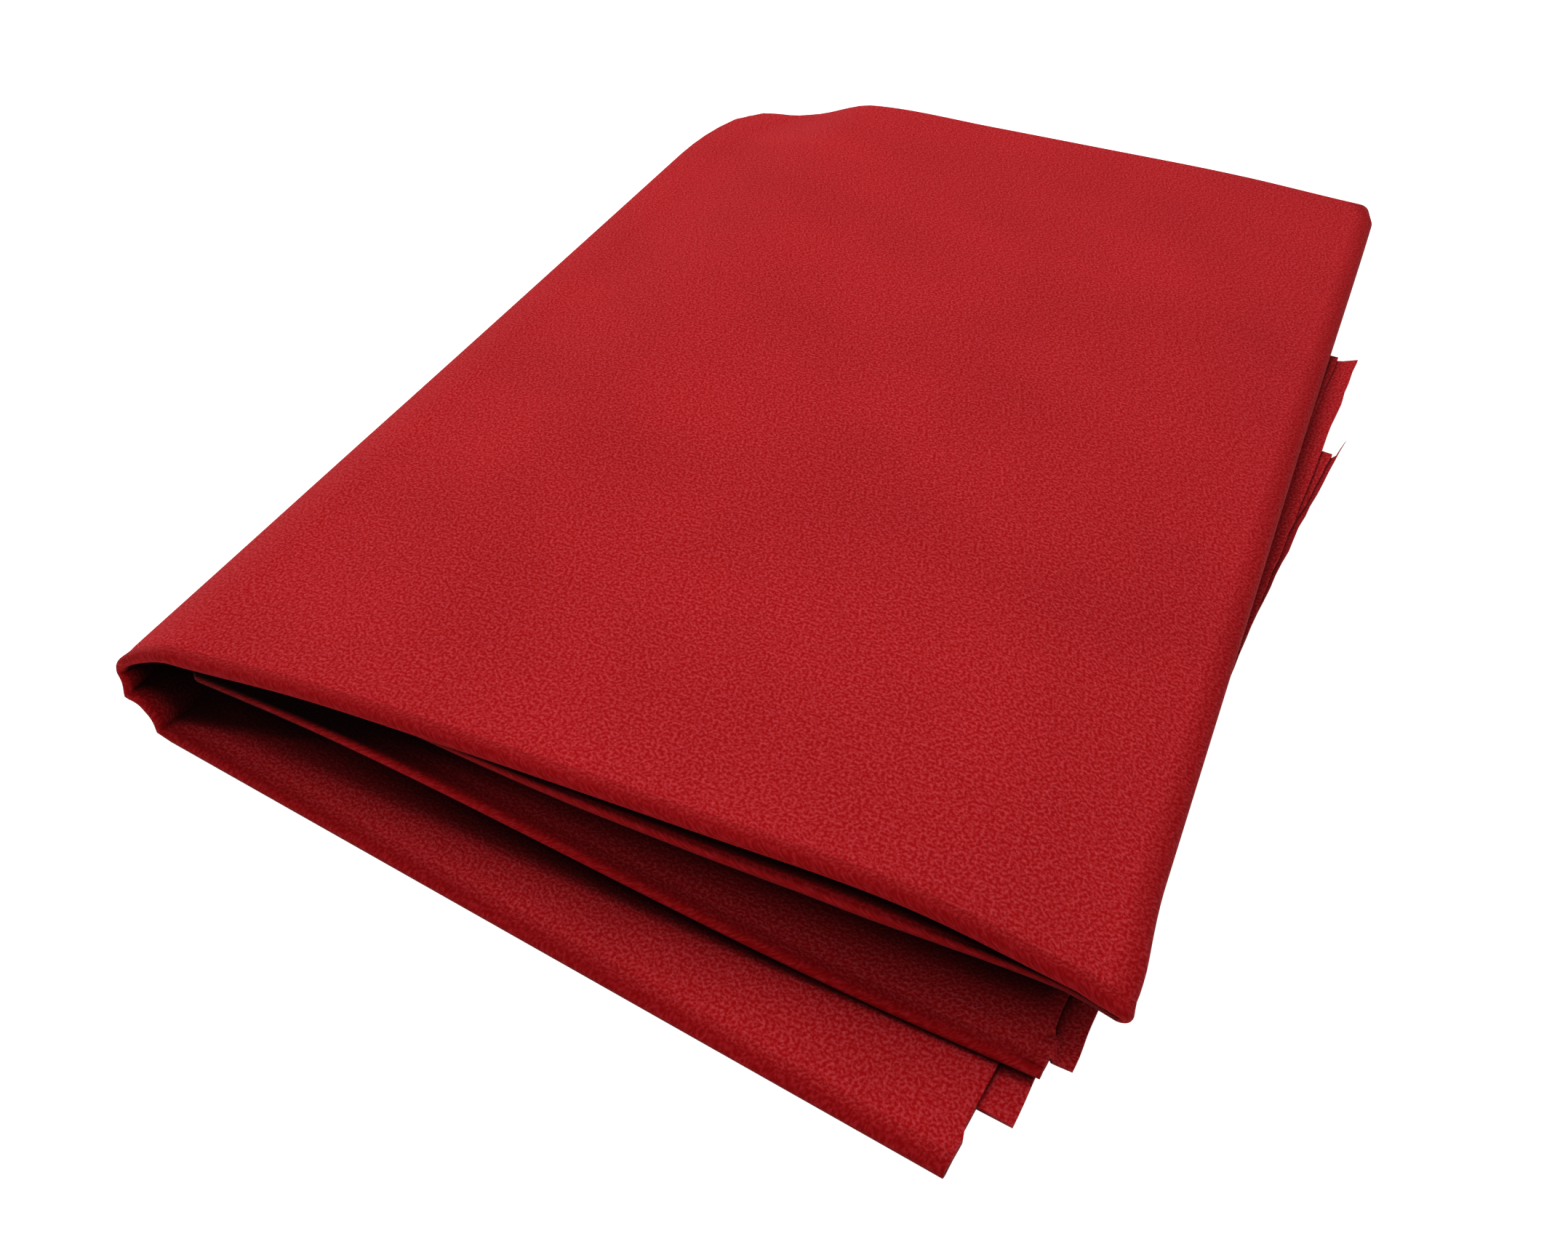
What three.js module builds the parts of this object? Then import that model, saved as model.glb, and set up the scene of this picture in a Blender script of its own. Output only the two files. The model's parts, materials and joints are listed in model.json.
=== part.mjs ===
import * as THREE from "three";

// A cut of thick brushed wool cloth folded into a flat bundle of four leaves, one above the other.
// Each leaf is two plies joined by a soft fold along its near edge. The bottom leaf turns up and over
// in an open, hollow fold on the left and becomes the top leaf; the top leaf folds under at the right
// into the second leaf; the second leaf folds back at its left end into the middle leaf.
// Millimetres, +X to the right, +Y away from the near edge, +Z up. Work coordinates start at the
// near right corner of the top leaf, and the finished group is centred on its footprint.

const plyThickness = 1.05; // one thickness of the cloth
const plyGap = 0.3; // air between neighbouring plies
const leafThickness = 2 * plyThickness + plyGap;

const topLeaf = { width: 240, length: 381, farLeftShift: 12, cornerWidth: 47, cornerDepth: 41 };
const secondLeaf = { nearLead: 1.5, farSetback: 3, creaseLead: 3, slack: 1.9 };
const middleLeaf = { width: 204, length: 287, turn: 3.1, leftInset: 21, nearSetback: 0.5 };
const bottomLeaf = { width: 215, length: 263, turn: 7.6, leftInset: 2, nearLead: 7 };

// The lower plies' raw ends show at the right: how far they reach past the upper ply and lie behind
// its near edge, and how the bottom one's right edge runs.
const rawMiddle = { reach: 5.9, nearSetback: 3.7 };
const rawBottom = { reach: 8.5, nearSetback: 13, length: 264, turn: 5.3 };

// How far the top face arches, left to right, above four leaves pressed flat at the near edge, and
// above two at the far edge, where the lower leaves have ended.
const archNear = [12, 16, 16.5, 16.7, 15.8, 7];
const archFar = [0.2, 7.5, 7.7, 7.1, 6.1, 3.5];

const leftFold = { bulge: 11.5, nearHeight: 12.5, farRise: 0.35, farWidening: 11.5, nearLead: 1 };
const nearFoldDepth = 1.3; // how far a rolled near edge stands out in front of its plies
const rightFoldDepth = 2.4;
const innerFoldDepth = 2.6;

const cloth = new THREE.MeshStandardMaterial({ color: "#a3131c", roughness: 0.95, metalness: 0 });
const group = new THREE.Group();

const mix = THREE.MathUtils.lerp;
const ramp = THREE.MathUtils.smoothstep;
const share = (value, from, to) => THREE.MathUtils.clamp((value - from) / (to - from), 0, 1);

// A smooth line through evenly spaced heights, read by its share of the way along.
function heightLine(base, heights) {
  const last = heights.length - 1;
  const curve = new THREE.SplineCurve(heights.map((z, i) => new THREE.Vector2(i / last, base + z)));
  return (along) => curve.getPoint(along).y;
}
const pressed = (leaves) => leaves * leafThickness + (leaves - 1) * plyGap;
const nearLine = heightLine(pressed(4), archNear);
const farLine = heightLine(pressed(2), archFar);

// Height of the bundle's top face above the table at any place.
function crown(x, y) {
  const away = share(y, 0, topLeaf.length);
  const across = share(x, -topLeaf.width - topLeaf.farLeftShift * away, 0);
  return mix(nearLine(across), farLine(across), away);
}

// The soft slack between the top and second leaves, widest short of the right fold.
function slackAt(x, y) {
  const across = share(x, -topLeaf.width, 0);
  const hump = ramp(across, 0.35, 0.75) * (1 - ramp(across, 0.8, 1));
  return plyGap + secondLeaf.slack * hump * (1 - share(y, 0, topLeaf.length));
}

function addMesh(name, points, faces) {
  const geometry = new THREE.BufferGeometry().setFromPoints(points);
  geometry.setIndex(faces.flat());
  geometry.computeVertexNormals();
  const mesh = new THREE.Mesh(geometry, cloth);
  mesh.name = name;
  group.add(mesh);
}

// A thin closed sheet between two faces, each given by its point at (across, away) in 0..1.
function addSheet(name, upper, lower, columns, rows) {
  const points = [];
  for (const face of [upper, lower])
    for (let j = 0; j <= rows; j++)
      for (let i = 0; i <= columns; i++) points.push(face(i / columns, j / rows));
  const row = columns + 1;
  const under = row * (rows + 1);
  const faces = [];
  for (let j = 0; j < rows; j++)
    for (let i = 0; i < columns; i++) {
      const a = j * row + i;
      faces.push([a, a + 1, a + row + 1], [a, a + row + 1, a + row]);
      faces.push([under + a, under + a + row + 1, under + a + 1]);
      faces.push([under + a, under + a + row, under + a + row + 1]);
    }
  const rim = [];
  for (let i = 0; i < columns; i++) rim.push(i);
  for (let j = 0; j < rows; j++) rim.push(j * row + columns);
  for (let i = columns; i > 0; i--) rim.push(rows * row + i);
  for (let j = rows; j > 0; j--) rim.push(j * row);
  rim.forEach((a, i) => {
    const b = rim[(i + 1) % rim.length];
    faces.push([a, under + a, under + b], [a, under + b, b]);
  });
  addMesh(name, points, faces);
}

// A bar with a rounded nose, swept through stations that each give its back edge and its nose.
// A station is { low, high, nose }: the ends of the flat back, and a vector from it to the nose's tip.
const noseSides = 6;
function addFoldBar(name, stationAt, stations) {
  const points = [];
  for (let j = 0; j <= stations; j++) {
    const { low, high, nose } = stationAt(j / stations);
    const middle = low.clone().lerp(high, 0.5);
    const half = high.clone().sub(middle);
    for (let i = 0; i <= noseSides; i++) {
      const turn = (Math.PI * i) / noseSides - Math.PI / 2;
      points.push(
        middle.clone().addScaledVector(half, Math.sin(turn)).addScaledVector(nose, Math.cos(turn)),
      );
    }
  }
  const ring = noseSides + 1;
  const faces = [];
  for (let j = 0; j < stations; j++)
    for (let i = 0; i < ring; i++) {
      const a = j * ring + i;
      const b = j * ring + ((i + 1) % ring);
      faces.push([a, b + ring, b], [a, a + ring, b + ring]);
    }
  const end = stations * ring;
  for (let i = 1; i < noseSides; i++) {
    faces.push([0, i, i + 1]);
    faces.push([end, end + i + 1, end + i]);
  }
  addMesh(name, points, faces);
}

// A quarter-sided patch of the plan: the point at (across, away) between four corners.
function planOf(nearLeft, nearRight, farRight, farLeft) {
  return (across, away) => {
    const near = nearLeft.clone().lerp(nearRight, across);
    return near.lerp(farLeft.clone().lerp(farRight, across), away);
  };
}
const plan = (x, y) => new THREE.Vector2(x, y);

// The corners of a straight-sided leaf turned clockwise about its near left corner.
function turnedLeaf(nearLeft, width, length, degrees) {
  const turn = THREE.MathUtils.degToRad(degrees);
  const right = plan(Math.cos(turn), -Math.sin(turn));
  const away = plan(Math.sin(turn), Math.cos(turn));
  const corner = (alongWidth, alongLength) =>
    nearLeft.clone().addScaledVector(right, alongWidth).addScaledVector(away, alongLength);
  return { nearLeft, nearRight: corner(width, 0), farRight: corner(width, length),
    farLeft: corner(0, length), right, away };
}

const lift = (place, z) => new THREE.Vector3(place.x, place.y, z);

// Two plies one above the other under the height top(x, y), and the soft fold that joins them in front.
function addLeaf(name, { upperPlan, lowerPlan, top, columns, rows }) {
  const ply = (planAt, depth) => (across, away) => {
    const place = planAt(across, away);
    return lift(place, top(place.x, place.y) - depth);
  };
  const lowerTop = plyThickness + plyGap;
  addSheet(`${name}_upper_ply`, ply(upperPlan, 0), ply(upperPlan, plyThickness), columns, rows);
  addSheet(`${name}_lower_ply`, ply(lowerPlan, lowerTop), ply(lowerPlan, leafThickness), columns, rows);
  const nose = new THREE.Vector3(0, -nearFoldDepth, 0);
  addFoldBar(
    `${name}_near_fold`,
    (along) => {
      const place = upperPlan(along, 0).add(plan(0, -plyGap));
      const z = top(place.x, place.y);
      return { low: lift(place, z - leafThickness), high: lift(place, z), nose };
    },
    columns,
  );
}

// Top leaf: straight near and right edges, and a far left corner that rounds off as it droops.
const topRight = -rightFoldDepth - plyGap;
function topPlan(across, away) {
  const left = -topLeaf.width - topLeaf.farLeftShift * away;
  const x = mix(left, topRight, across);
  const cornerStart = -topLeaf.width - topLeaf.farLeftShift + topLeaf.cornerWidth;
  const intoCorner = share(x, cornerStart, cornerStart - topLeaf.cornerWidth);
  const cut = topLeaf.cornerDepth * (1 - Math.sqrt(1 - intoCorner ** 2));
  return plan(x, (topLeaf.length - cut) * away);
}
addLeaf("top_leaf", { upperPlan: topPlan, lowerPlan: topPlan, top: crown, columns: 16, rows: 12 });

// Bottom leaf: lies flat on the table, turned clockwise, with the raw corner of its lower ply showing.
const bottomCorner = plan(-topLeaf.width + bottomLeaf.leftInset, -bottomLeaf.nearLead);
const bottom = turnedLeaf(bottomCorner, bottomLeaf.width, bottomLeaf.length, bottomLeaf.turn);
const bottomUpper = planOf(bottom.nearLeft, bottom.nearRight, bottom.farRight, bottom.farLeft);
const rawCorner = bottom.nearRight
  .clone()
  .addScaledVector(bottom.right, rawBottom.reach)
  .addScaledVector(bottom.away, rawBottom.nearSetback);
const rawSide = turnedLeaf(rawCorner, 0, rawBottom.length, rawBottom.turn);
const bottomLower = planOf(bottom.nearLeft, rawSide.nearRight, rawSide.farRight, bottom.farLeft);
addLeaf("bottom_leaf", { upperPlan: bottomUpper, lowerPlan: bottomLower, top: () => leafThickness,
  columns: 6, rows: 4 });

// Second leaf: hangs just under the top leaf, from the right fold to the crease it shares with the
// middle leaf, whose left edge it follows.
const middleCorner = plan(-topLeaf.width + middleLeaf.leftInset, middleLeaf.nearSetback);
const middle = turnedLeaf(middleCorner, middleLeaf.width, middleLeaf.length, middleLeaf.turn);
const secondFar = topLeaf.length - secondLeaf.farSetback;
const creaseAt = (y) => middle.nearLeft.clone().addScaledVector(middle.away, y / middle.away.y);
const secondPlan = planOf(
  creaseAt(-secondLeaf.nearLead - middleLeaf.nearSetback),
  plan(topRight, -secondLeaf.nearLead),
  plan(topRight, secondFar),
  creaseAt(middle.farLeft.y + secondLeaf.creaseLead),
);
const secondTop = (x, y) => crown(x, y) - leafThickness - slackAt(x, y);
addLeaf("second_leaf", { upperPlan: secondPlan, lowerPlan: secondPlan, top: secondTop,
  columns: 14, rows: 12 });

// Middle leaf: starts hard under the second leaf at the crease and comes down to lie on the bottom
// leaf at its right end. The raw end of its lower ply shows beyond the upper one.
const middleRest = pressed(2);
function middleTop(x, y) {
  const crease = creaseAt(y);
  const start = secondTop(crease.x, y) - leafThickness - plyGap;
  const across = share(x, crease.x, crease.x + middleLeaf.width);
  return mix(start, middleRest, ramp(across, 0.08, 0.92));
}
const middleUpper = planOf(middle.nearLeft, middle.nearRight, middle.farRight, middle.farLeft);
const rawEnd = middle.right
  .clone()
  .multiplyScalar(rawMiddle.reach)
  .addScaledVector(middle.away, rawMiddle.nearSetback);
const middleLower = planOf(
  middle.nearLeft,
  middle.nearRight.clone().add(rawEnd),
  middle.farRight.clone().add(rawEnd),
  middle.farLeft,
);
addLeaf("middle_leaf", { upperPlan: middleUpper, lowerPlan: middleLower, top: middleTop,
  columns: 12, rows: 8 });

// Right fold: the rounded edge where the top leaf turns under into the second leaf.
addFoldBar(
  "right_fold",
  (along) => {
    const place = plan(-rightFoldDepth, mix(0, secondFar, along));
    const high = crown(place.x, place.y);
    const low = secondTop(topRight, place.y) - leafThickness;
    return { low: lift(place, low), high: lift(place, high), nose: new THREE.Vector3(rightFoldDepth, 0, 0) };
  },
  12,
);

// Inner fold: the crease at the left where the second leaf turns back into the middle leaf.
addFoldBar(
  "inner_fold",
  (along) => {
    const place = creaseAt(mix(middleLeaf.nearSetback, middle.farLeft.y, along)).add(plan(-plyGap, 0));
    const high = secondTop(place.x, place.y);
    const low = high - pressed(2);
    return { low: lift(place, high), high: lift(place, low), nose: new THREE.Vector3(-innerFoldDepth, 0, 0) };
  },
  10,
);

// Left fold: an open hollow turn, split at its outermost line, which is the line the bundle opens about.
const foldLine = {
  near: new THREE.Vector3(-topLeaf.width - leftFold.bulge, -leftFold.nearLead, leftFold.nearHeight),
  far: new THREE.Vector3(
    -topLeaf.width - topLeaf.farLeftShift - leftFold.farWidening,
    topLeaf.length - topLeaf.cornerDepth,
    leafThickness + leftFold.farRise,
  ),
};
const foldPoint = (along) => foldLine.near.clone().lerp(foldLine.far, along);

// One quarter of an oval turn from the fold line to a lip, at a given depth inside the outer face.
function quarterTurn(across, away, lipAt, lipZ, depth, endGap) {
  const turn = (Math.PI / 2) * across;
  const fold = foldPoint(away);
  const lip = lipAt(away);
  const start = fold.clone().add(new THREE.Vector3(depth, 0, endGap));
  return new THREE.Vector3(
    mix(start.x, lip.x, 1 - Math.cos(turn)),
    mix(start.y, lip.y, 1 - Math.cos(turn)),
    mix(start.z, lipZ(away), Math.sin(turn)),
  );
}
const bottomLip = (away) => bottom.nearLeft.clone().lerp(bottom.farLeft, away).add(plan(-plyGap, 0));
const topLip = (away) => topPlan(0, away).add(plan(-plyGap, 0));
const topLipZ = (away) => crown(topPlan(0, away).x, topPlan(0, away).y);
addSheet(
  "left_fold_lower",
  (across, away) => quarterTurn(across, away, bottomLip, () => leafThickness, leafThickness, -plyGap / 2),
  (across, away) => quarterTurn(across, away, bottomLip, () => 0, 0, -plyGap / 2),
  7,
  10,
);
addSheet(
  "left_fold_upper",
  (across, away) => quarterTurn(across, away, topLip, topLipZ, 0, plyGap / 2),
  (across, away) =>
    quarterTurn(across, away, topLip, (along) => topLipZ(along) - leafThickness, leafThickness, plyGap / 2),
  7,
  10,
);

// The bundle stands on Z = 0, centred on its footprint.
const footprint = new THREE.Box3().setFromObject(group);
const middleOfFootprint = footprint.getCenter(new THREE.Vector3());
group.position.set(-middleOfFootprint.x, -middleOfFootprint.y, -footprint.min.z);

export default group;
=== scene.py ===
import json
import math

import bmesh
import bpy
from mathutils import Euler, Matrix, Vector, noise


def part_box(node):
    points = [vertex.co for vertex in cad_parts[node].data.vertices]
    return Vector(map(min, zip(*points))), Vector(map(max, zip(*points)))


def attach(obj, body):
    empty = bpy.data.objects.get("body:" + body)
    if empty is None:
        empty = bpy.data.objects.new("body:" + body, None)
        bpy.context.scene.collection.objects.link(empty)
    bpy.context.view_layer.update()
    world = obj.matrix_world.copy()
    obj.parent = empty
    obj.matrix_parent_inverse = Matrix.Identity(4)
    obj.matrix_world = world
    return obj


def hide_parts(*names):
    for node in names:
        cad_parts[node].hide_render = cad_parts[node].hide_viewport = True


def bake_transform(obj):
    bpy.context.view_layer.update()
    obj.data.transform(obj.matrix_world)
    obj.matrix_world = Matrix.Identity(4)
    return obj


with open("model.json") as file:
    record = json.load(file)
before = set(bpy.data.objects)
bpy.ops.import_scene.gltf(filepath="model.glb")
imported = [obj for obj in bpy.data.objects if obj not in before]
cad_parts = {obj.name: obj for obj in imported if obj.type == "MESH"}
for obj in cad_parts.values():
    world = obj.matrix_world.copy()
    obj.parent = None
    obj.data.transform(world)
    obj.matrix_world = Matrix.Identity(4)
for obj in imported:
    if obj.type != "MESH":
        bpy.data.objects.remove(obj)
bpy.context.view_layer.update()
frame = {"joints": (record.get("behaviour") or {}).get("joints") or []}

# A cut of thick brushed red wool, folded lengthwise and then into four leaves, lying on white paper.
# Shapes are worked out in millimetres from the near right corner of the top leaf, +X to the right,
# +Y away from the near edge, +Z up, and moved to the frame when a mesh is finished.

millimetre = 0.001
origin = Vector((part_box("right_fold")[1].x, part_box("right_fold")[0].y, 0))

plyThickness = 1.05  # one thickness of the cloth
plyGap = 0.3  # air between two plies
leafThickness = 2 * plyThickness + plyGap
plyOffset = (plyThickness + plyGap) / 2  # middle of a ply off the middle of its leaf
leafPitch = leafThickness + plyGap  # middle of a leaf to the middle of the next, pressed together
rawRounding = 0.3  # width of the bevel along a raw edge
creaseShade = 0.7  # how strongly the right fold's edge is painted darker, 0 to 1
innerFoldShade = 1.25  # painted shade of the inner fold's tuck, the darkest place in the bundle


def mix(a, b, share):
    return a + (b - a) * share


def clamp(value):
    return max(0.0, min(1.0, value))


def ramp(value, low, high):
    share = clamp((value - low) / (high - low))
    return share * share * (3 - 2 * share)


def roundedRise(share):
    share = clamp(share)
    return 1 - math.sqrt(1 - share * share)  # a quarter circle that starts level


def inFrame(point):
    return origin + point * millimetre


def pressed(leaves):
    return leaves * leafThickness + (leaves - 1) * plyGap


def heightLine(heights, share):
    # A smooth line through evenly spaced heights.
    last = len(heights) - 1
    place = clamp(share) * last
    start = min(int(place), last - 1)
    t = place - start
    before, a = heights[max(start - 1, 0)], heights[start]
    b, after = heights[start + 1], heights[min(start + 2, last)]
    pullA = (b - before) / 2
    pullB = (after - a) / 2
    return (
        (2 * a - 2 * b + pullA + pullB) * t**3
        + (3 * b - 3 * a - 2 * pullA - pullB) * t**2
        + pullA * t
        + a
    )


def readOut(stage):
    print(f"done: {stage}", flush=True)


topLeaf = {
    "width": 240,
    "length": 381,
    "farShift": 12,
    "right": -2.7,
    # Top face above four pressed leaves, left to right, and above two at the far edge.
    "archNear": (12.6, 17.8, 19.4, 19.9, 19.6, 10.5),
    "archFar": (-0.8, 7.8, 7.9, 7.2, 6.1, 3.5),
    "cornerSag": 3.4,  # how far the far left corner droops
    "farRound": 9,
    "tipDrop": 2.0,  # the near right corner hangs a little
    "leftShort": 2.0,  # shorter by this at its left end
}
secondLeaf = {
    "nearLead": -0.8,
    "creaseSetback": 3.5,
    "slack": 1.9,
    "bow": 4.9,  # its near edge bellies out past the top leaf's in the middle
    "farShort": 2.5,  # shorter than the top leaf by this, at the right fold
}
middleLeaf = {
    "nearLeft": (-226, 1.3),
    "width": 212,
    "length": 287,
    "turn": 3.1,
    "rawReach": 5.2,
    "rawSetback": 4.4,
    "rawTaper": 0.0,
    "rawLonger": 3.7,  # the strip that shows past the shorter ply is longer by this at its outer edge
    "narrowing": 0,
}
bottomLeaf = {
    "nearLeft": (-238, -5.8),
    "width": 215,
    "length": 263,
    "turn": 8.0,
    "rawReach": 6.8,
    "rawSetback": 15,
    "rawTaper": 0.03,
    "rawLonger": 12,
    "narrowing": 3.9,
}
leftFold = {
    "near": (-250.0, -1.0, 12.2),  # middle of the cloth where the fold is widest
    "far": (-262.6, 340.0, 2.65),
    "cornerStart": 325,  # from here the far end rounds off to the right
    "cornerLength": 52,
    "cornerDepth": 15,
    "length": 376.5,
    # Shares of the way across and down, from the widest line to the bottom leaf, where facets meet.
    "ridges": ((0.0, 0.0), (0.18, 0.45), (0.66, 0.6), (1.0, 1.0)),
    "hollow": 0.035,  # how far a facet curves in, as a share of the same
}


def turned(leaf):
    angle = math.radians(leaf["turn"])
    return Vector((math.cos(angle), -math.sin(angle), 0)), Vector((math.sin(angle), math.cos(angle), 0))


bottomRight, bottomAway = turned(bottomLeaf)
middleRight, middleAway = turned(middleLeaf)


def crown(x, y):
    # Height of the bundle's top face.
    away = clamp(y / topLeaf["length"])
    left = -topLeaf["width"] - topLeaf["farShift"] * away
    across = clamp((x - left) / -left)
    near = pressed(4) + heightLine(topLeaf["archNear"], across)
    far = pressed(2) + heightLine(topLeaf["archFar"], across)
    sag = topLeaf["cornerSag"] * ramp(y, 330, 381) * ramp(x, -250, -236) * (1 - ramp(x, -226, -202))
    soft = 0.35 * noise.noise(Vector((x / 70, y / 90, 3.7))) * ramp(y, 5, 60)
    return mix(near, far, away) - sag + soft


def slackAt(x, y):
    # The air between the top and second leaves, widest short of the right fold.
    across = clamp((x + topLeaf["width"]) / topLeaf["width"])
    hump = ramp(across, 0.25, 0.7) * (1 - ramp(across, 0.84, 1))
    return plyGap + secondLeaf["slack"] * hump * (1 - clamp(y / topLeaf["length"]))


def creaseAt(y):
    nearLeft = Vector((*middleLeaf["nearLeft"], 0))
    return nearLeft + middleAway * (y / middleAway.y)


def secondMiddle(x, y):
    return crown(x, y) - leafPitch - leafThickness / 2 - slackAt(x, y) + plyGap


def middleMiddle(x, y):
    crease = creaseAt(y)
    start = secondMiddle(crease.x, y) - leafPitch
    across = clamp((x - crease.x) / middleLeaf["width"])
    return mix(start, pressed(2) - leafThickness / 2, ramp(across, 0.08, 0.92))


# Each part of the cloth gives the middle of its leaf at a share of its width and a distance in
# from the near edge, and its own length at that share.


def leafEdge(leaf, right, away, share, along, reach=0.0):
    nearLeft = Vector((*leaf["nearLeft"], 0))
    width = leaf["width"] - leaf["narrowing"] * along / leaf["length"]
    if not reach:
        # The shorter ply's raw end wanders a little, with one small snip near its front corner.
        wander = 0.5 * noise.noise(Vector((along / 11, leaf["turn"], 9.1))) - 0.8 * ramp(along, 8.2, 9.6)
        reach = wander * ramp(share, 0.95, 1)
    return nearLeft + right * (width * share + reach) + away * along


def rawReach(leaf, along):
    reach = leaf["rawReach"] - leaf["rawTaper"] * max(0.0, along - leaf["rawSetback"])
    wave = 0.45 * noise.noise(Vector((along / 9, leaf["turn"], 0.5)))
    return max(0.4, reach) + wave


def bottomAt(share, along):
    point = leafEdge(bottomLeaf, bottomRight, bottomAway, 1 - share, along)
    point.z = leafThickness / 2
    return point


def bottomRawAt(share, along):
    reach = rawReach(bottomLeaf, along) * (1 - share)
    point = leafEdge(bottomLeaf, bottomRight, bottomAway, 1, along, reach)
    point.z = leafThickness / 2
    return point


def foldLineAt(along):
    near, far = Vector(leftFold["near"]), Vector(leftFold["far"])
    point = near + (far - near) * (along / (far.y - near.y))
    corner = (along - leftFold["cornerStart"]) / leftFold["cornerLength"]
    point.x += leftFold["cornerDepth"] * roundedRise(corner)
    point.z = max(point.z, leafThickness / 2 + 0.9)
    return point


def lowerFoldAt(share, along):
    # From the bottom leaf's left edge up to the widest line; near the opening it buckles into
    # three flat facets with two ridges between them.
    lip = leafEdge(bottomLeaf, bottomRight, bottomAway, 0, along)
    lip.x += 0.4 * (1 - ramp(along, 0, 40))
    lip.z = leafThickness / 2
    line = foldLineAt(along)
    turn = (1 - share) * math.pi / 2
    smooth = Vector(
        (
            mix(line.x, lip.x, 1 - math.cos(turn)),
            mix(line.y, lip.y, 1 - math.cos(turn)),
            mix(line.z, lip.z, math.sin(turn)),
        )
    )
    ridges = leftFold["ridges"]
    facets = len(ridges) - 1
    place = (1 - share) * facets
    facet = min(int(place), facets - 1)
    t = place - facet
    (acrossA, downA), (acrossB, downB) = ridges[facet], ridges[facet + 1]
    hollow = leftFold["hollow"] * math.sin(math.pi * t)
    across = mix(acrossA, acrossB, t) + hollow
    down = mix(downA, downB, t) - hollow
    pleated = Vector((mix(line.x, lip.x, across), mix(line.y, lip.y, down), mix(line.z, lip.z, down)))
    return smooth.lerp(pleated, 1 - ramp(along, 6, 75))


def topLeft(along):
    corner = (along - leftFold["cornerStart"]) / (leftFold["cornerLength"] + 8)
    return (
        -230
        - 17 * along / topLeaf["length"]
        + leftFold["cornerDepth"] * roundedRise(corner)
    )


def upperFoldAt(share, along):
    line = foldLineAt(along)
    left = topLeft(along)
    lip = Vector((left, along, crown(left, along) - leafThickness / 2))
    turn = share * math.pi / 2
    rise = mix(math.sin(turn), 1 - math.cos(turn), 0.3 * math.sin(2 * turn))
    inward = 1 - math.cos(turn)
    return Vector((mix(line.x, lip.x, inward), mix(line.y, lip.y, rise), mix(line.z, lip.z, rise)))


def tipAt(x, along):
    return topLeaf["tipDrop"] * ramp(x, -13, -3) * (1 - ramp(along, 0, 14))


def rightEdge(along):
    # Nearly straight, easing in from the near corner and rounding off at the far one.
    eased = topLeaf["right"] - 2.1 * ramp(along, -4, 32) + 0.7 * ramp(along, 200, 360)
    eased -= 0.7 * (1 - ramp(along, 0, 12))
    corner = (along - topLeaf["length"]) / topLeaf["farRound"] + 1
    return eased - 0.5 * topLeaf["farRound"] * roundedRise(corner)


def topAt(share, along):
    x = mix(topLeft(along), rightEdge(along), share)
    return Vector((x, along, crown(x, along) - leafThickness / 2 - tipAt(x, along)))


def secondAt(share, along):
    # Share runs from the right fold to the crease at the left.
    right = Vector((rightEdge(along), along - secondLeaf["nearLead"], 0))
    nearLeft = creaseAt(middleLeaf["nearLeft"][1] + secondLeaf["creaseSetback"])
    left = nearLeft + middleAway * along
    point = right.lerp(left, share)
    belly = ramp(share, 0.03, 0.25) * (1 - ramp(share, 0.5, 0.95))
    point.y -= secondLeaf["bow"] * belly * (1 - ramp(along, 0, 200))
    point.z = secondMiddle(point.x, point.y) - tipAt(point.x, along)
    return point


def rightFoldAt(share, along):
    high = topAt(1, along)
    low = secondAt(0, along)
    turn = math.pi * share
    radius = (high.z - low.z) / 2
    point = high.lerp(low, (1 - math.cos(turn)) / 2)
    point.x += min(radius, 1.5) * math.sin(turn)
    return point


def innerFoldAt(share, along):
    high = secondAt(1, along)
    low = middleAt(0, along)
    turn = math.pi * share
    point = high.lerp(low, (1 - math.cos(turn)) / 2)
    point.x -= (high.z - low.z) / 2 * math.sin(turn)
    return point


def middleAt(share, along):
    point = leafEdge(middleLeaf, middleRight, middleAway, share, along)
    point.z = middleMiddle(point.x, point.y)
    return point


def middleRawAt(share, along):
    point = leafEdge(middleLeaf, middleRight, middleAway, 1, along, rawReach(middleLeaf, along) * share)
    point.z = pressed(2) - leafThickness / 2
    return point


# Painted shade: how deep in the bundle each place lies, 0 in the open, about 1 where the slits are
# painted nearly black.


def bottomPaintedShade(share, along, side):
    fromFold = (1 - share) * bottomLeaf["width"]
    inward = ramp(along, 0.8 + fromFold * 0.3, 5 + fromFold * 0.4) * (1 - ramp(fromFold, 24, 70))
    underMiddle = 7.4 + 0.087 * fromFold  # where the middle leaf's near edge crosses this one
    shadow = 0.45 * ramp(along, underMiddle - 3, underMiddle + 1)
    return max(inward, shadow) * (side < 1)


def foldPaintedShade(share, along, side):
    return ramp(along, 0.7, 6) * (side < 1)


def secondPaintedShade(share, along, side):
    return (0.3, 1.1, 0)[side + 1]


def middlePaintedShade(share, along, side):
    underSecond = 0.8 * ramp(along, 4 + 6 * share, 14 + 9 * share)
    return max(innerFoldShade * (1 - ramp(share, 0.02, 0.45)), underSecond)


# How far in each stretch reaches from the near edge.


def bottomLength(share):
    return bottomLeaf["length"]


def bottomRawLength(share):
    return bottomLeaf["length"] + bottomLeaf["rawLonger"] * (1 - share)


def lowerFoldLength(share):
    return mix(bottomLeaf["length"], leftFold["length"], share)


def upperFoldLength(share):
    return mix(leftFold["length"], topLength(0), share)


def topLength(share):
    return topLeaf["length"] - topLeaf["leftShort"] * (1 - ramp(share, 0, 0.1))


def rightFoldLength(share):
    return mix(topLeaf["length"], secondLength(0), share)


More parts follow.
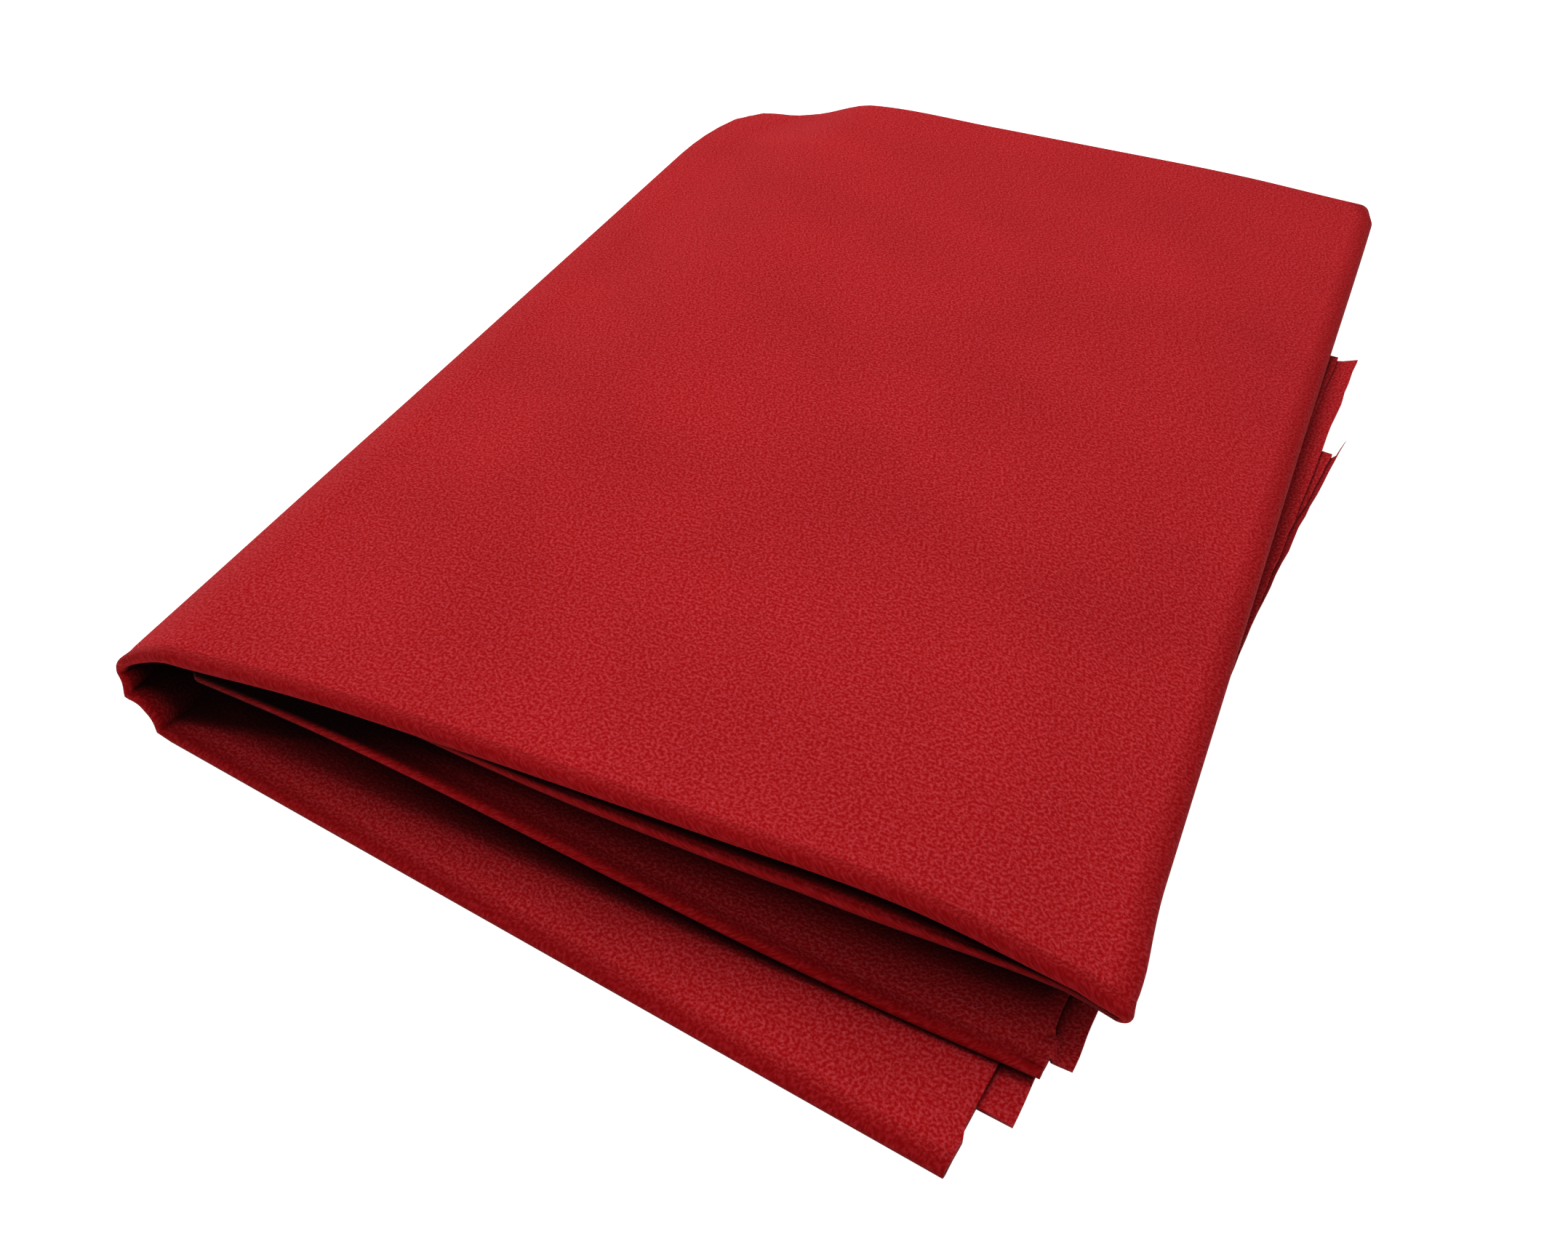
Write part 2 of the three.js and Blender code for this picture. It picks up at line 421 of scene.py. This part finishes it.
def secondLength(share):
    return mix(topLeaf["length"] - secondLeaf["farShort"], middleLeaf["length"], share)


def middleLength(share):
    return middleLeaf["length"]


def middleRawLength(share):
    return middleLeaf["length"] + middleLeaf["rawLonger"] * share


def halfGap(along):
    # The rolled edge is plumper than the leaf behind it, with a pressed line between them.
    roll = 0.2 * math.exp(-(((along - 0.5) / 1.3) ** 2))
    pinch = 0.11 * math.exp(-(((along - 3.9) / 0.9) ** 2))
    return plyOffset + roll - pinch


rowsPerPly = 58
rollRows = 10
rowCrowding = 1.6  # above 1 the rows lie closer together towards the near edge
nearStart = 0.5  # the roll's turn starts this far behind the leaf's near edge
rollPlumpness = 1.15  # how far the roll stands out in front, as a share of its half height


def rowAt(index):
    # Side 1 is the outer ply and -1 the inner one; between them the rows turn round the near edge.
    if index <= rowsPerPly:
        return 1, (1 - index / rowsPerPly) ** rowCrowding, 0.0
    if index < rowsPerPly + rollRows:
        return 0, 0.0, math.pi * (index - rowsPerPly) / rollRows
    return -1, ((index - rowsPerPly - rollRows) / rowsPerPly) ** rowCrowding, math.pi


def distanceIn(share, length):
    # Real millimetres near the edge, then stretched or shortened to the leaf's own length.
    return nearStart + share * topLeaf["length"] + (length - nearStart - topLeaf["length"]) * share**1.5


def placed(part, share, row):
    side, rowShare, turn = row
    along = distanceIn(rowShare, part["length"](share))
    step = 0.4
    at = part["at"]
    middle = at(share, along)
    low, high = max(share - 0.01, 0.0), min(share + 0.01, 1.0)
    across = at(high, along) - at(low, along)
    away = (at(share, along + step) - at(share, along - step)).normalized()
    normal = across.cross(away).normalized()
    half = halfGap(along)
    if side:
        return middle + normal * half * side, along
    forward = across.cross(normal).normalized()
    nose = half * rollPlumpness
    return middle + normal * half * math.cos(turn) + forward * nose * math.sin(turn), along


def cutAndFold(name, parts):
    # The cloth is cut flat as a grid, trimmed where a raw end is short, and then folded.
    columns = sum(part["columns"] for part in parts)
    rows = 2 * rowsPerPly + rollRows
    cloth = bmesh.new()
    bmesh.ops.create_grid(cloth, x_segments=columns, y_segments=rows, size=0.5)
    flat = cloth.loops.layers.uv.new("flatCloth")
    rolled = cloth.verts.layers.float.new("rolled")
    tucked = cloth.verts.layers.float.new("tucked")
    stations = []
    for part in parts:
        for step in range(part["columns"]):
            stations.append((part, step / part["columns"]))
    stations.append((parts[-1], 1.0))
    column = {}
    row = {}
    for vertex in cloth.verts:
        column[vertex] = round((vertex.co.x + 0.5) * columns)
        row[vertex] = round((0.5 - vertex.co.y) * rows)
    spare = []
    for face in cloth.faces:
        index = min(column[v] for v in face.verts)
        part = stations[index][0]
        if "trim" not in part:
            continue
        side, rowShare, _ = rowAt(sum(row[v] for v in face.verts) / 4)
        along = distanceIn(rowShare, part["length"](0))
        if side != part["trim"]["side"] or along < part["trim"]["setback"]:
            spare.append(face)
    bmesh.ops.delete(cloth, geom=spare, context="FACES")

    places = {}
    for vertex in cloth.verts:
        part, share = stations[column[vertex]]
        point, along = placed(part, share, rowAt(row[vertex]))
        places[vertex] = (column[vertex], row[vertex], along)
        side = rowAt(row[vertex])[0]
        # Painted shade on rolled and folded edges: full at the turn of the near edge, gone about 4.6 mm
        # in.
        vertex[rolled] = max(1 - ramp(along, 0.4, 4.6), part["edge"](share) if "edge" in part else 0)
        # Painted shade deep in the bundle, stored on the cloth for the material.
        vertex[tucked] = part["tuck"](share, along, side) if "tuck" in part else 0
        vertex.co = inFrame(point)
    markFlat(cloth, flat, places, rows)
    bmesh.ops.recalc_face_normals(cloth, faces=cloth.faces)
    mesh = bpy.data.meshes.new(name)
    cloth.to_mesh(mesh)
    cloth.free()
    piece = bpy.data.objects.new(name, mesh)
    bpy.context.scene.collection.objects.link(piece)
    return piece


def markFlat(cloth, flat, places, rows):
    # Flat cloth coordinates in metres: across by the real distance along each row, and in by the
    # distance from the near edge, so that the weave keeps its true size round every fold.
    byPlace = {}
    for vertex, (column, row, _) in places.items():
        byPlace[(column, row)] = vertex
    across = {}
    lastColumn = max(column for column, _ in byPlace)
    first = next(c for c in range(lastColumn + 1) if (c, rows // 2) in byPlace)
    for row in range(rows + 1):
        for step in (1, -1):
            # Counted both ways from the first column that every row has.
            total = 0.02
            previous = byPlace[(first, row)]
            across[previous] = total
            vertex = byPlace.get((first + step, row))
            while vertex is not None:
                total += step * (vertex.co - previous.co).length
                across[vertex] = total
                previous = vertex
                vertex = byPlace.get((places[vertex][0] + step, row))
    for face in cloth.faces:
        for loop in face.loops:
            _, row, along = places[loop.vert]
            side = 1 if row <= rows // 2 else -1
            rolled = clamp(abs(row - rows / 2) / (rollRows / 2)) * 1.2
            loop[flat].uv = (across[loop.vert], side * (rolled + max(along, 0)) * millimetre)


def thicken(piece):
    solid = piece.modifiers.new("thickness", "SOLIDIFY")
    solid.thickness = plyThickness * millimetre
    solid.offset = 0
    solid.use_even_offset = False
    edge = piece.modifiers.new("raw edges", "BEVEL")
    edge.affect = "EDGES"
    edge.width = rawRounding * millimetre
    edge.segments = 2
    edge.profile = 0.5
    edge.limit_method = "ANGLE"
    edge.angle_limit = math.radians(60)
    edge.material = -1
    for modifier in list(piece.modifiers):
        with bpy.context.temp_override(object=piece, active_object=piece):
            bpy.ops.object.modifier_apply(modifier=modifier.name)
    for polygon in piece.data.polygons:
        polygon.use_smooth = True


def linear(code):
    # "#rrggbb" as the linear colour that a shader takes.
    channels = [int(code[i : i + 2], 16) / 255 for i in (1, 3, 5)]
    return (*[c / 12.92 if c <= 0.04045 else ((c + 0.055) / 1.055) ** 2.4 for c in channels], 1)


def addNode(tree, kind, settings=None, **links):
    # One node with its settings. Links name an input, or count it as i0, i1 and so on, and give a
    # value or another node's output.
    node = tree.nodes.new(kind)
    for name, value in (settings or {}).items():
        setattr(node, name, value)
    for name, value in links.items():
        byNumber = name[0] == "i" and name[1:].isdigit()
        socket = node.inputs[int(name[1:]) if byNumber else name]
        if isinstance(value, bpy.types.NodeSocket):
            tree.links.new(value, socket)
        else:
            socket.default_value = value
    return node


wool = {
    "shade": "#ab191e",  # the yarn's colour on the lit face
    "deep": "#97060a",  # between the grains, where the nap shades itself
    "tipHighlight": "#bb4046",  # paler tips of the brushed nap, partly their own colour and partly a painted highlight on the grain tops
    "pressed": "#cc7f8c",  # painted shade: filters the colour darker along a rolled or folded edge
    "grain": 0.75,  # millimetres across one grain of the crepe weave
    "fibre": 0.2,  # millimetres across a tuft of nap
    "patch": 45,  # millimetres across a slow patch of tone
    "push": 0.0008,  # metres by which the grain is pushed out of line, at most
    "lineIn": 0.0043,  # metres from the turn of the cloth to the pressed line behind it, where shade is painted
    "lineHalf": 0.0009,
    "slitReach": 0.03,  # metres within which another leaf shades this one
    "tuckShade": -0.34,  # added to the openness of a place deep in the bundle
    "sheen": "#e0787c",
}


def woolMaterial():
    # Thick brushed wool: a crepe weave under a short milled nap, so the eye meets a fine soft
    # pebble with no shine, darker between the grains and a little paler at glancing angles.
    material = bpy.data.materials.new("brushedRedWool")
    material.use_nodes = True
    tree = material.node_tree
    shader = tree.nodes["Principled BSDF"]
    place = addNode(tree, "ShaderNodeUVMap", {"uv_map": "flatCloth"}).outputs["UV"]

    perMetre = 1000
    warp = addNode(
        tree,
        "ShaderNodeTexNoise",
        {"noise_dimensions": "3D"},
        Vector=place,
        Scale=perMetre / (4 * wool["grain"]),
        Detail=2.0,
    )
    push = addNode(
        tree,
        "ShaderNodeVectorMath",
        {"operation": "MULTIPLY_ADD"},
        i0=warp.outputs["Color"],
        i1=(wool["push"], wool["push"], 0.0),
        i2=place,
    )
    grain = addNode(
        tree,
        "ShaderNodeTexNoise",
        {"noise_dimensions": "3D"},
        Vector=push.outputs[0],
        Scale=perMetre / wool["grain"],
        Detail=1.0,
        Roughness=0.5,
    )
    tufts = addNode(
        tree,
        "ShaderNodeTexNoise",
        {"noise_dimensions": "3D"},
        Vector=place,
        Scale=perMetre / (4 * wool["fibre"]),
        Detail=4.0,
        Roughness=0.7,
    )
    patches = addNode(
        tree,
        "ShaderNodeTexNoise",
        {"noise_dimensions": "3D"},
        Vector=place,
        Scale=perMetre / wool["patch"],
        Detail=3.0,
    )
    pebble = addNode(
        tree,
        "ShaderNodeMapRange",
        {"interpolation_type": "SMOOTHSTEP"},
        Value=grain.outputs["Fac"],
        i1=0.36,
        i2=0.72,
        i3=0.0,
        i4=1.0,
    )
    height = addNode(
        tree,
        "ShaderNodeMath",
        {"operation": "MULTIPLY_ADD"},
        i0=tufts.outputs["Fac"],
        i1=0.55,
        i2=pebble.outputs[0],
    )
    body = addNode(
        tree,
        "ShaderNodeMix",
        {"data_type": "RGBA", "clamp_factor": True},
        Factor=pebble.outputs[0],
        i6=linear(wool["deep"]),
        i7=linear(wool["shade"]),
    )
    tips = addNode(
        tree,
        "ShaderNodeMapRange",
        {},
        Value=tufts.outputs["Fac"],
        i1=0.3,
        i2=0.7,
        i3=0.1,
        i4=0.8,
    )
    tipsOnGrain = addNode(
        tree,
        "ShaderNodeMath",
        {"operation": "MULTIPLY"},
        i0=tips.outputs[0],
        i1=pebble.outputs[0],
    )
    napped = addNode(
        tree,
        "ShaderNodeMix",
        {"data_type": "RGBA"},
        Factor=tipsOnGrain.outputs[0],
        i6=body.outputs[2],
        i7=linear(wool["tipHighlight"]),
    )
    uneven = addNode(
        tree,
        "ShaderNodeMapRange",
        {},
        Value=patches.outputs["Fac"],
        i1=0.3,
        i2=0.7,
        i3=0.94,
        i4=1.05,
    )
    # Painted shade along the pressed line behind each rolled near edge.
    inward = addNode(tree, "ShaderNodeSeparateXYZ", {}, Vector=push.outputs[0])
    distance = addNode(tree, "ShaderNodeMath", {"operation": "ABSOLUTE"}, i0=inward.outputs["Y"])
    off = addNode(
        tree,
        "ShaderNodeMath",
        {"operation": "SUBTRACT"},
        i0=distance.outputs[0],
        i1=wool["lineIn"],
    )
    offAbsolute = addNode(tree, "ShaderNodeMath", {"operation": "ABSOLUTE"}, i0=off.outputs[0])
    pressedLineShade = addNode(
        tree,
        "ShaderNodeMapRange",
        {"interpolation_type": "SMOOTHSTEP"},
        Value=offAbsolute.outputs[0],
        i1=0.0,
        i2=wool["lineHalf"],
        i3=0.88,
        i4=1.0,
    )
    tone = addNode(
        tree,
        "ShaderNodeMath",
        {"operation": "MULTIPLY"},
        i0=uneven.outputs[0],
        i1=pressedLineShade.outputs[0],
    )
    toned = addNode(
        tree,
        "ShaderNodeHueSaturation",
        {},
        Color=napped.outputs[2],
        Value=tone.outputs[0],
    )
    bump = addNode(
        tree,
        "ShaderNodeBump",
        {},
        Strength=0.6,
        Distance=0.00026,
        Height=height.outputs[0],
    )
    # Painted shade along rolled and folded edges: the colour is filtered to a deeper, cleaner red there.
    rolled = addNode(tree, "ShaderNodeAttribute", {"attribute_name": "rolled"})
    edged = addNode(
        tree,
        "ShaderNodeMix",
        {"data_type": "RGBA", "blend_type": "MULTIPLY"},
        Factor=rolled.outputs["Fac"],
        i6=toned.outputs[0],
        i7=linear(wool["pressed"]),
    )
    # Painted shade: where ambient occlusion finds another leaf close by, the base colour is darkened
    # towards black, so the slits between leaves go nearly black, most of all deep in a fold; opened out,
    # the same places come back to full colour.
    openness = addNode(tree, "ShaderNodeAmbientOcclusion", {"samples": 8}, Distance=wool["slitReach"])
    tucked = addNode(tree, "ShaderNodeAttribute", {"attribute_name": "tucked"})
    closed = addNode(
        tree,
        "ShaderNodeMath",
        {"operation": "MULTIPLY_ADD"},
        i0=tucked.outputs["Fac"],
        i1=wool["tuckShade"],
        i2=openness.outputs["AO"],
    )
    lit = addNode(
        tree,
        "ShaderNodeMapRange",
        {},
        Value=closed.outputs[0],
        i1=0.25,
        i2=0.66,
        i3=0.02,
        i4=1.0,
    )
    shaded = addNode(
        tree,
        "ShaderNodeMix",
        {"data_type": "RGBA"},
        Factor=lit.outputs[0],
        i6=(0, 0, 0, 1),
        i7=edged.outputs[2],
    )
    tree.links.new(shaded.outputs[2], shader.inputs["Base Color"])
    tree.links.new(bump.outputs[0], shader.inputs["Normal"])
    shader.inputs["Roughness"].default_value = 0.93
    shader.inputs["Specular IOR Level"].default_value = 0.06
    shader.inputs["Sheen Weight"].default_value = 0.04
    shader.inputs["Sheen Roughness"].default_value = 0.45
    shader.inputs["Sheen Tint"].default_value = linear(wool["sheen"])
    return material


woolCloth = woolMaterial()
readOut("wool material")

# Bottom leaf, left fold, top leaf, right fold and second leaf are one run, in that order.
outerRun = [
    {
        "at": bottomRawAt,
        "length": bottomRawLength,
        "columns": 6,
        "trim": {"side": 1, "setback": bottomLeaf["rawSetback"]},
    },
    {"at": bottomAt, "tuck": bottomPaintedShade, "length": bottomLength, "columns": 44},
    {"at": lowerFoldAt, "tuck": foldPaintedShade, "length": lowerFoldLength, "columns": 30},
    {"at": upperFoldAt, "tuck": foldPaintedShade, "length": upperFoldLength, "columns": 18},
    {
        "at": topAt,
        "edge": lambda share: creaseShade * ramp(share, 0.984, 1),
        "length": topLength,
        "columns": 54,
    },
    {"at": rightFoldAt, "edge": lambda share: creaseShade, "length": rightFoldLength, "columns": 12},
    {
        "at": secondAt,
        "edge": lambda share: creaseShade * (1 - ramp(share, 0, 0.02)),
        "tuck": secondPaintedShade,
        "length": secondLength,
        "columns": 40,
    },
]
outerCloth = cutAndFold("outer_cloth", outerRun)
thicken(outerCloth)
readOut("outer cloth folded")

# Inner fold and middle leaf are the rest of it.
innerRun = [
    {
        "at": innerFoldAt,
        "tuck": lambda share, along, side: innerFoldShade,
        "length": middleLength,
        "columns": 12,
    },
    {"at": middleAt, "tuck": middlePaintedShade, "length": middleLength, "columns": 44},
    {
        "at": middleRawAt,
        "length": middleRawLength,
        "columns": 5,
        "trim": {"side": -1, "setback": middleLeaf["rawSetback"]},
    },
]
innerCloth = cutAndFold("inner_cloth", innerRun)
thicken(innerCloth)
readOut("inner cloth folded")

for piece in (outerCloth, innerCloth):
    piece.data.materials.append(woolCloth)

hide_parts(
    "bottom_leaf_lower_ply",
    "bottom_leaf_upper_ply",
    "bottom_leaf_near_fold",
    "left_fold_lower",
    "left_fold_upper",
    "top_leaf_upper_ply",
    "top_leaf_lower_ply",
    "top_leaf_near_fold",
    "right_fold",
    "second_leaf_upper_ply",
    "second_leaf_lower_ply",
    "second_leaf_near_fold",
)
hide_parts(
    "inner_fold",
    "middle_leaf_upper_ply",
    "middle_leaf_lower_ply",
    "middle_leaf_near_fold",
)

# The hinge at the left fold's widest line, and a direction across it that points up.
hinge = frame["joints"][0]
hingeAxis = Vector(hinge["axis"])
acrossHinge = hingeAxis.cross(Vector((-1, 0, 0))).normalized()
if acrossHinge.z < 0:
    acrossHinge = -acrossHinge
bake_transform(outerCloth)
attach(innerCloth, "cover")
readOut("cloth rides the frame")


def paperMaterial():
    # Matt white sweep paper: evenly bright, with only a trace of the cloth's shadow.
    material = bpy.data.materials.new("whiteSweepPaper")
    material.use_nodes = True
    tree = material.node_tree
    shader = tree.nodes["Principled BSDF"]
    place = addNode(tree, "ShaderNodeTexCoord").outputs["Object"]
    mottle = addNode(tree, "ShaderNodeTexNoise", {}, Vector=place, Scale=60.0, Detail=2.0)
    tone = addNode(tree, "ShaderNodeMapRange", {}, Value=mottle.outputs["Fac"], i3=0.6, i4=0.62)
    tree.links.new(tone.outputs[0], shader.inputs["Base Color"])
    shader.inputs["Roughness"].default_value = 1.0
    shader.inputs["Specular IOR Level"].default_value = 0.0
    shader.inputs["Emission Color"].default_value = (1, 1, 1, 1)
    shader.inputs["Emission Strength"].default_value = 0.9
    return material


def addFloor():
    sweep = bmesh.new()
    bmesh.ops.create_grid(sweep, x_segments=8, y_segments=8, size=6)
    mesh = bpy.data.meshes.new("floor")
    sweep.to_mesh(mesh)
    sweep.free()
    floor = bpy.data.objects.new("floor", mesh)
    floor.location.z = -0.0002
    floor.data.materials.append(paperMaterial())
    bpy.context.scene.collection.objects.link(floor)


def addArea(name, place, aim, size, power):
    light = bpy.data.lights.new(name, "AREA")
    light.shape = "RECTANGLE"
    light.size = size[0]
    light.size_y = size[1]
    light.energy = power
    lamp = bpy.data.objects.new(name, light)
    lamp.location = place
    lamp.rotation_mode = "QUATERNION"
    lamp.rotation_quaternion = (Vector(aim) - Vector(place)).to_track_quat("-Z", "Y")
    bpy.context.scene.collection.objects.link(lamp)


def addStudio():
    addFloor()
    world = bpy.data.worlds.new("studio")
    world.use_nodes = True
    world.node_tree.nodes["Background"].inputs["Color"].default_value = (1, 1, 1, 1)
    world.node_tree.nodes["Background"].inputs["Strength"].default_value = 0.28
    bpy.context.scene.world = world
    addArea("overheadSoftbox", (-0.35, 0.45, 1.15), (-0.03, 0.02, 0), (1.4, 1.1), 18)
    addArea("frontFill", (0.1, -1.2, 1.0), (0, 0, 0), (1.2, 0.8), 6)
    camera = bpy.data.objects.new("camera", bpy.data.cameras.new("camera"))
    camera.data.lens = 33.4
    camera.data.sensor_width = 36
    camera.data.clip_start = 0.01
    camera.location = inFrame(Vector((0, -167, 261.4)))
    camera.rotation_euler = Euler((math.radians(47.08), 0, math.radians(23.84)))
    bpy.context.scene.collection.objects.link(camera)
    bpy.context.scene.camera = camera
    bpy.context.scene.view_settings.view_transform = "Standard"


addStudio()
readOut("studio")
